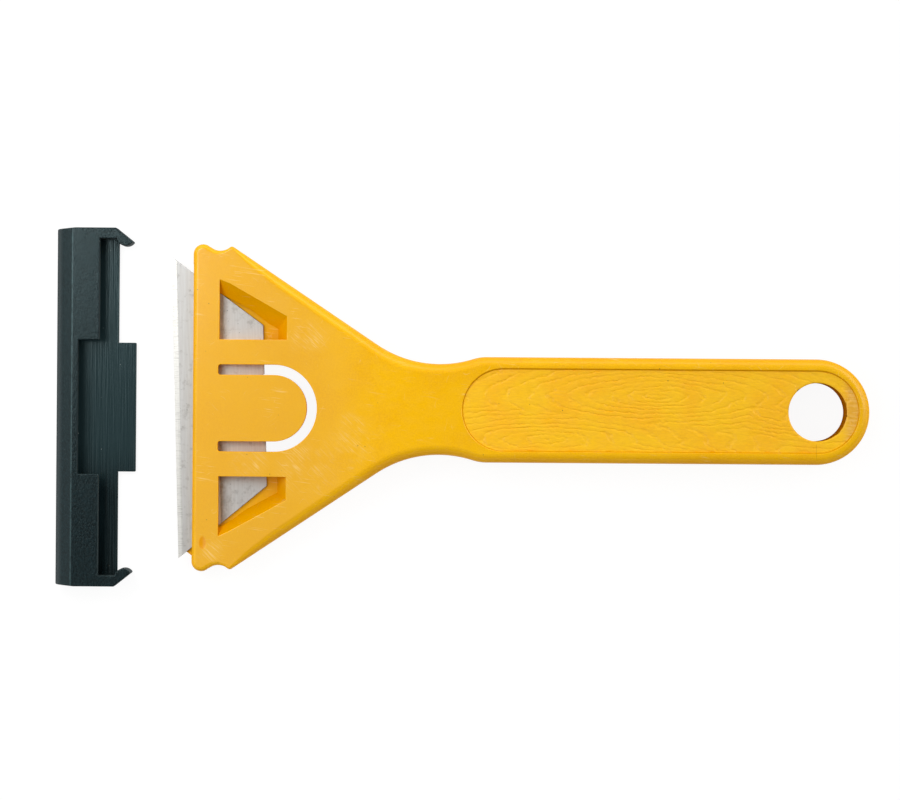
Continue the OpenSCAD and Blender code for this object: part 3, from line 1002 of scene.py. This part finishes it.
def panel_slab():
    """A flat slab as large as the panel's recess, with the hanging hole in it. Its upper face is a fine grid,
    whose outermost points are moved onto the true outline."""
    across_count = math.ceil(2 * FOOT_R / GRAIN_STEP) + 3
    along_count = math.ceil((2 * FOOT_R - PANEL_X) / GRAIN_STEP) + 3
    x = PANEL_X - FOOT_R + GRAIN_STEP * (np.arange(along_count) - 1)
    y = -FOOT_R + GRAIN_STEP * (np.arange(across_count) - 1)
    grid_x, grid_y = np.meshgrid(x, y, indexing="ij")
    end_x = np.clip(grid_x, PANEL_X, 0)
    from_end = np.hypot(grid_x - end_x, grid_y)
    from_hole = np.hypot(grid_x, grid_y)
    inside = (from_end < FOOT_R + GRAIN_STEP / 2) & (from_hole > HOLE_R - GRAIN_STEP / 2)
    squares = inside[:-1, :-1] & inside[1:, :-1] & inside[:-1, 1:] & inside[1:, 1:]
    uses = np.zeros(grid_x.shape, int)
    for di in (0, 1):
        for dj in (0, 1):
            uses[di : di + squares.shape[0], dj : dj + squares.shape[1]] += squares
    rim = (uses > 0) & (uses < 4)
    outer = rim & (from_end > (FOOT_R + HOLE_R) / 2)
    inner = rim & ~outer
    place_x, place_y = grid_x.copy(), grid_y.copy()
    place_x[outer] = (end_x + (grid_x - end_x) * FOOT_R / from_end)[outer]
    place_y[outer] = (grid_y * FOOT_R / from_end)[outer]
    place_x[inner] = (grid_x * HOLE_R / from_hole)[inner]
    place_y[inner] = (grid_y * HOLE_R / from_hole)[inner]

    used = uses > 0
    number = np.full(grid_x.shape, -1)
    number[used] = np.arange(used.sum())
    points = np.column_stack([place_x[used], place_y[used], np.zeros(used.sum())])
    i, j = np.nonzero(squares)
    faces = np.column_stack([number[i, j], number[i + 1, j], number[i + 1, j + 1], number[i, j + 1]])
    data = bpy.data.meshes.new("panel")
    data.from_pydata(points.tolist(), [], faces.tolist())
    slab = new_object("panel", data)

    def thicken(mesh):
        rim_edges = [e for e in mesh.edges if e.is_boundary]
        walls = bmesh.ops.extrude_edge_only(mesh, edges=rim_edges)["geom"]
        low_verts = [v for v in walls if isinstance(v, bmesh.types.BMVert)]
        bmesh.ops.translate(mesh, verts=low_verts, vec=(0, 0, -SLAB_T))
        low_edges = [e for e in walls if isinstance(e, bmesh.types.BMEdge) and e.is_boundary]
        bmesh.ops.triangle_fill(mesh, edges=low_edges, use_beauty=False, use_dissolve=False)
        bmesh.ops.recalc_face_normals(mesh, faces=mesh.faces)

    edit(slab, thicken)
    return slab


def grain_panel(name, tree, material, seed, under):
    """One panel of wood grain, laid in the recess of the grip's upper face or of its underside."""
    panel = panel_slab()
    grain = panel.modifiers.new("grain", "NODES")
    grain.node_group = tree
    given = {"Seed": float(seed), "Finish": material}
    for item in tree.interface.items_tree:
        if item.in_out == "INPUT" and item.name in given:
            grain[item.identifier] = given[item.name]
    bake(panel)
    panel.data.transform(Matrix.Translation((0, 0, GRIP_T / 2 - PANEL_DEPTH)))
    if under:
        panel.data.transform(Matrix.Rotation(math.pi, 4, "X"))
    return finish_piece(panel, name, material, "handle_plastic", "handle")


# Blade


def utility_blade():
    """A trapezoid blade with two notches in its back, ground from both faces and honed along its edge."""
    corners = [(0, -EDGE_L / 2, 0), (BLADE_W, -BACK_L / 2), (BLADE_W, BACK_L / 2), (0, EDGE_L / 2, 0)]
    blank = prism(rounded(corners, 0.25), -0.2, BLADE_T + 0.2)
    notches = [
        prism(arc((BLADE_W, y), BACK_NOTCH_R, 0, 360, 10)[:-1], -1, 1 + BLADE_T)
        for y in (-BACK_NOTCH_Y, BACK_NOTCH_Y)
    ]
    middle = BLADE_T / 2
    profile = [
        (0, middle + 0.012),
        (0, middle - 0.012),
        (HONE_W, middle - HONE_T / 2),
        (GRIND_W, 0),
        (BLADE_W + 1, 0),
        (BLADE_W + 1, BLADE_T),
        (GRIND_W, BLADE_T),
        (HONE_W, middle + HONE_T / 2),
    ]
    combine(blank, "DIFFERENCE", *notches)

    def stamped(a, b):
        """Edges of the sheet's outline, off its cutting edge."""
        return a.x + b.x > 3 * GRIND_W and abs(a.z - b.z) < 0.01

    combine(blank, "INTERSECT", across(profile, -EDGE_L, EDGE_L))
    round_edges(blank, STAMP_R, stamped, 2)
    place = Matrix.Translation(BLADE_PLACE) @ Matrix.Rotation(math.radians(BLADE_TURN), 4, "Z")
    blank.data.transform(place)
    return blank


# Cap


def blade_cap():
    """The blade's cap, cut out of one block with a round back: its two plates, end walls, hooks and tab are
    one piece."""
    nose_r = 2.6
    nose = Vector((CAP_BACK + nose_r, CAP_MID))
    back_r = CAP_MID - CAP_LOW
    crease = (CREASE_X + CREASE_R * math.tan(math.radians(SLOPE / 2)), CAP_TOP - CREASE_R)
    profile = (
        [(TAB_END, CAP_LOW), (TAB_END, CAP_TOP)]
        + arc(crease, CREASE_R, 90, 90 + SLOPE)
        + arc(nose, nose_r, 90 + SLOPE, 180, 8)
        + arc((CAP_BACK + back_r, CAP_MID), back_r, 180, 270, 8)[1:]
    )
    cap = across(profile, -CAP_Y, CAP_Y)
    beyond = TAB_END + 2
    lower_turn = 180 + math.degrees(math.acos((BUMP.x - LOWER_END) / BUMP_R))
    wall_turn = 180 + math.degrees(math.asin((BUMP.y - CAP_INNER_Y) / BUMP_R))
    bump_front = arc(BUMP, BUMP_R, TIP_TURN, lower_turn, 8)
    bump_back = arc(BUMP, BUMP_R, lower_turn, wall_turn, 8)
    tip = bump_front[0]
    room_side = [(beyond, tip[1]), *bump_front, *bump_back[1:], (UPPER_END, CAP_INNER_Y)]
    room = room_side + mirrored(room_side)[::-1]
    outside = [tip, (WALL_END, CAP_Y), (WALL_END, CAP_Y + 2), (beyond, CAP_Y + 2), (beyond, tip[1])]
    lower_front = [(LOWER_END, TAB_Y), (beyond, TAB_Y), (beyond, tip[1]), *bump_front]
    # The nose's ends slant inwards. The slant starts beside the crease's rounding, since on it the rounded
    # edges would cross. Its cutter runs on 1 mm past the back
    slant_x = CREASE_X + 0.6
    slant = END_SLANT * 1.3
    nose_end = [
        (slant_x, CAP_Y),
        (CAP_BACK - 1, CAP_Y - slant),
        (CAP_BACK - 1, CAP_Y + 1),
        (slant_x, CAP_Y + 1),
    ]
    both_sides = [
        prism(plan, -GRIP_T, GRIP_T)
        for high in (lower_front, outside, nose_end)
        for plan in (high, mirrored(high))
    ]
    combine(
        cap,
        "DIFFERENCE",
        prism(room, SLOT_LOW, GRIP_T),
        box((SLOT_BACK, -CAP_INNER_Y, SLOT_LOW), (UPPER_END + 1, CAP_INNER_Y, SLOT_TOP)),
        box((CUTOUT_X, -CUTOUT_Y, SLOT_LOW), (UPPER_END + 1, CUTOUT_Y, GRIP_T)),
        *both_sides,
    )
    round_edges(cap, CAP_EDGE_R, lambda a, b: True)
    return cap


# Stage


def white_floor():
    """Plain white floor, which keeps the object's shadow."""
    size = FLOOR_SIZE * MM
    data = bpy.data.meshes.new("floor")
    corners = [(-size, -size, 0), (size, -size, 0), (size, size, 0), (-size, size, 0)]
    data.from_pydata(corners, [], [(0, 1, 2, 3)])
    floor = new_object("floor", data)
    floor.location = (VIEW_X * MM, 0, (FLOOR_Z - 0.02) * MM)
    paper = bpy.data.materials.new("white_paper")
    tree = empty_tree(paper)
    lit = add(tree, "ShaderNodeBsdfDiffuse", inputs={"Color": hex_colour("#F4F4F4")})["BSDF"]
    white = add(tree, "ShaderNodeEmission", inputs={"Strength": 1.04})[0]
    path = add(tree, "ShaderNodeLightPath")
    seen = path["Is Camera Ray"]
    for kind in ("Is Glossy Ray", "Is Transmission Ray"):
        seen = math_node(tree, "MAXIMUM", seen, path[kind])
    mixed = add(tree, "ShaderNodeMixShader", inputs={0: product(tree, seen, 0.88), 1: lit, 2: white})
    add(tree, "ShaderNodeOutputMaterial", inputs={"Surface": mixed[0]})
    data.materials.append(paper)


def studio_light():
    """World light: softboxes to the left, to the right and on the photo's top side. Between them it is dim,
    also right above, where the camera hangs."""
    world = bpy.data.worlds.new("studio")
    bpy.context.scene.world = world
    tree = empty_tree(world)
    direction = add(tree, "ShaderNodeTexCoord")["Generated"]
    axes = axes_of(tree, direction)
    level = ramp(tree, axes["Y"], -0.7, 0.8, FILL_LOW, FILL_HIGH)
    light = product(tree, level, ramp(tree, axes["Z"], 0.8, 1.0, 1.0, 0.1))
    for side, near, low, foot, dim, strength in BOXES:
        sideways = measure(tree, "DOT_PRODUCT", direction, (*side, 0))
        softbox = product(tree, ramp(tree, sideways, *near), ramp(tree, axes["Y"], *low))
        softbox = product(tree, softbox, ramp(tree, axes["Z"], *foot, dim * strength, strength))
        light = math_node(tree, "ADD", light, softbox)
    # Overhead light that glossy rays don't see: it lights, but leaves no sheen
    path = add(tree, "ShaderNodeLightPath")
    above = ramp(tree, axes["Z"], 0.2, 0.9, 0.0, OVERHEAD)
    overhead = product(tree, above, ramp(tree, axes["Y"], -0.8, 0.8, 0.8, 1.0))
    matt = math_node(tree, "SUBTRACT", 1.0, path["Is Glossy Ray"])
    light = math_node(tree, "ADD", light, product(tree, overhead, matt))
    white = (1, 1, 1, 1)
    studio = add(tree, "ShaderNodeBackground", inputs={"Color": white, "Strength": light})[0]
    backdrop = add(tree, "ShaderNodeBackground", inputs={"Color": white, "Strength": 1})[0]
    both = add(tree, "ShaderNodeMixShader", inputs={0: path["Is Camera Ray"], 1: studio, 2: backdrop})
    add(tree, "ShaderNodeOutputWorld", inputs={"Surface": both[0]})


def lamp_beside_cap():
    """Softbox over the floor, to the left of the cap and beyond its high end. It lights the cap's high
    half most."""
    data = bpy.data.lights.new("softbox", "AREA")
    data.shape = "RECTANGLE"
    data.size, data.size_y = (side * MM for side in SOFTBOX_SIZE)
    data.energy = SOFTBOX_POWER
    new_object("softbox", data).location = Vector(SOFTBOX_PLACE) * MM


def camera_above():
    """Camera straight above, framed and turned as in the photo."""
    data = bpy.data.cameras.new("camera")
    data.sensor_width = 36
    data.lens = data.sensor_width * CAMERA_HEIGHT / VIEW_W
    data.clip_start, data.clip_end = 0.05, 10
    camera = new_object("camera", data)
    camera.location = (VIEW_X * MM, VIEW_Y * MM, (CAMERA_HEIGHT + 1) * MM)
    camera.rotation_euler = (0, 0, math.radians(VIEW_ROLL))
    bpy.context.scene.camera = camera


# The pieces

yellow = yellow_plastic("moulded_yellow_ABS", "#F0AF00", "#F4B600", 1.0, 0.0)
# The panels' copy of the plastic is paler: painted sheen of their engraved relief
engraved = yellow_plastic("engraved_yellow_ABS", "#FFBB00", "#FFC600", 0.2, 1.0)
steel = blade_steel()
dark = cap_plastic()

moulding = handle_moulding()
tongue = split_off_tongue(moulding)
mark_walls(moulding)
mark_walls(tongue)
finish_piece(moulding, "handle_moulding", yellow, "handle_plastic", "handle", "handle")
finish_piece(tongue, "spring_tongue", yellow, "handle_plastic", None, "tongue")
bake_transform(tongue)

grain = grain_tree()
grain_panel("grain_panel_upper", grain, engraved, 3, False)
grain_panel("grain_panel_under", grain, engraved, 8, True)

finish_piece(utility_blade(), "utility_blade", steel, "blade_steel", "blade", "blade")
finish_piece(blade_cap(), "blade_cap", dark, "cap_plastic", "cap", "cap")

white_floor()
studio_light()
lamp_beside_cap()
camera_above()
bpy.context.scene.view_settings.view_transform = "Standard"
